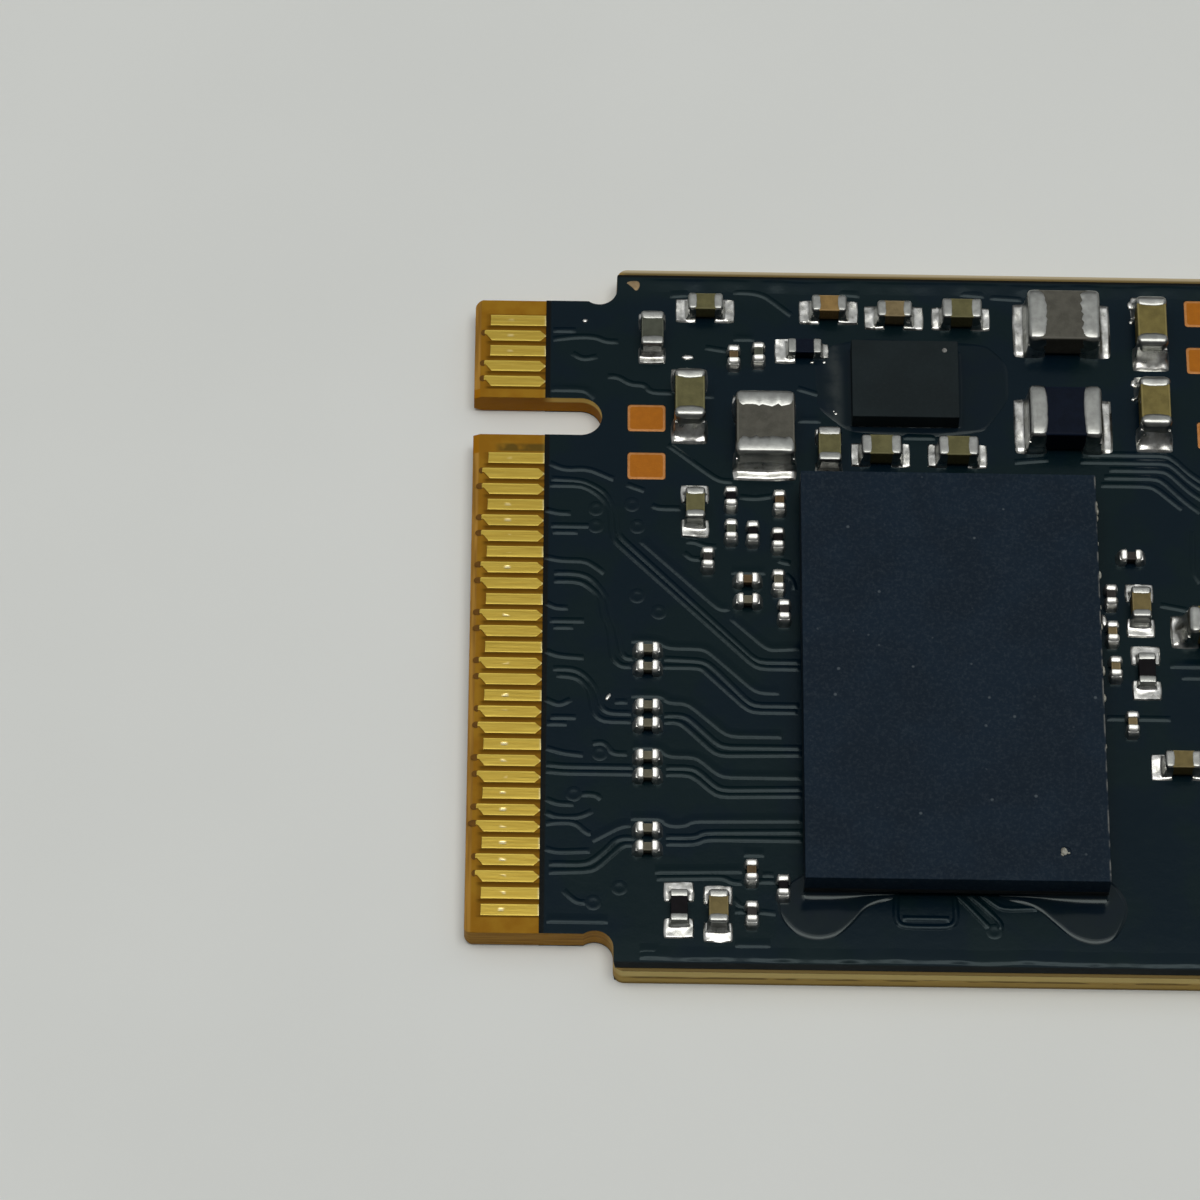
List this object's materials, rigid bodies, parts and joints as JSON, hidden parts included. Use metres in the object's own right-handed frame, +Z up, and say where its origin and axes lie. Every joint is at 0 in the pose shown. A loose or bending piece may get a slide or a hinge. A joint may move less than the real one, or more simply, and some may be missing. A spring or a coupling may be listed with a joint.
{
  "type": "solid-state drive card",
  "caption": "Bare single-sided solid-state drive card: keyed edge connector with gold fingers, controller, power chip, flash packages, chip parts and a half-round screw notch.",
  "frame": {"origin": "middle of the card's underside, halfway along its length and on its centreline", "axes": "+X along the card from the connector tongue to the screw notch, +Y across the card, +Z up from the underside"},
  "size_m": [0.08, 0.022, 0.0019],
  "materials": {
    "laminate": "amber glass-epoxy laminate",
    "solder_mask": "dark blue-black solder mask, satin",
    "gold": "thin gold plating over copper",
    "bare_copper": "bare copper",
    "mould": "dark moulding compound, fine grain",
    "substrate": "dark package substrate",
    "solder": "bright solder",
    "adhesive": "dark glossy epoxy",
    "ceramic": "tan fired ceramic with tin end terminals",
    "ferrite": "pressed metal-powder core with tin end terminals",
    "resistor": "black-glazed chip with tin end terminals"
  },
  "bodies": {
    "root": {"bare_pads": "bare_copper", "bias_resistors": "resistor", "bulk_capacitor_1": "ceramic", "bulk_capacitor_2": "ceramic", "bulk_capacitor_3": "ceramic", "bulk_capacitor_4": "ceramic", "bypass_capacitors": "ceramic", "circuit_board": "laminate", "contact_fingers_bottom": "gold", "contact_fingers_top": "gold", "controller_balls": "solder", "controller_corner_bond": "adhesive", "controller_mould": "mould", "controller_substrate": "substrate", "decoupling_capacitor_1": "ceramic", "decoupling_capacitor_2": "ceramic", "decoupling_capacitor_3": "ceramic", "decoupling_capacitor_4": "ceramic", "decoupling_capacitor_5": "ceramic", "decoupling_capacitor_6": "ceramic", "decoupling_capacitor_7": "ceramic", "flash_balls": "solder", "flash_capacitors": "ceramic", "flash_mould_1": "mould", "flash_mould_2": "mould", "flash_substrate_1": "substrate", "flash_substrate_2": "substrate", "lane_capacitor_1": "ceramic", "lane_capacitor_2": "ceramic", "lane_capacitor_3": "ceramic", "lane_capacitor_4": "ceramic", "lane_capacitor_5": "ceramic", "lane_capacitor_6": "ceramic", "lane_capacitor_7": "ceramic", "lane_capacitor_8": "ceramic", "power_chip": "mould", "power_chip_leads": "solder", "power_chip_underfill": "adhesive", "power_inductor_1": "ferrite", "power_inductor_2": "ferrite", "power_inductor_3": "ferrite", "screw_notch_plating": "gold", "solder_joints_flash": "solder", "solder_joints_large": "solder", "solder_joints_medium": "solder", "solder_joints_small": "solder", "solder_mask_bottom": "solder_mask", "solder_mask_top": "solder_mask", "strap_resistor_1": "resistor", "strap_resistor_2": "resistor", "strap_resistor_3": "resistor", "supply_capacitor_1": "ceramic", "supply_capacitor_2": "ceramic", "supply_capacitor_3": "ceramic", "supply_capacitor_4": "ceramic", "supply_capacitor_5": "ceramic"}
  },
  "joints": []
}
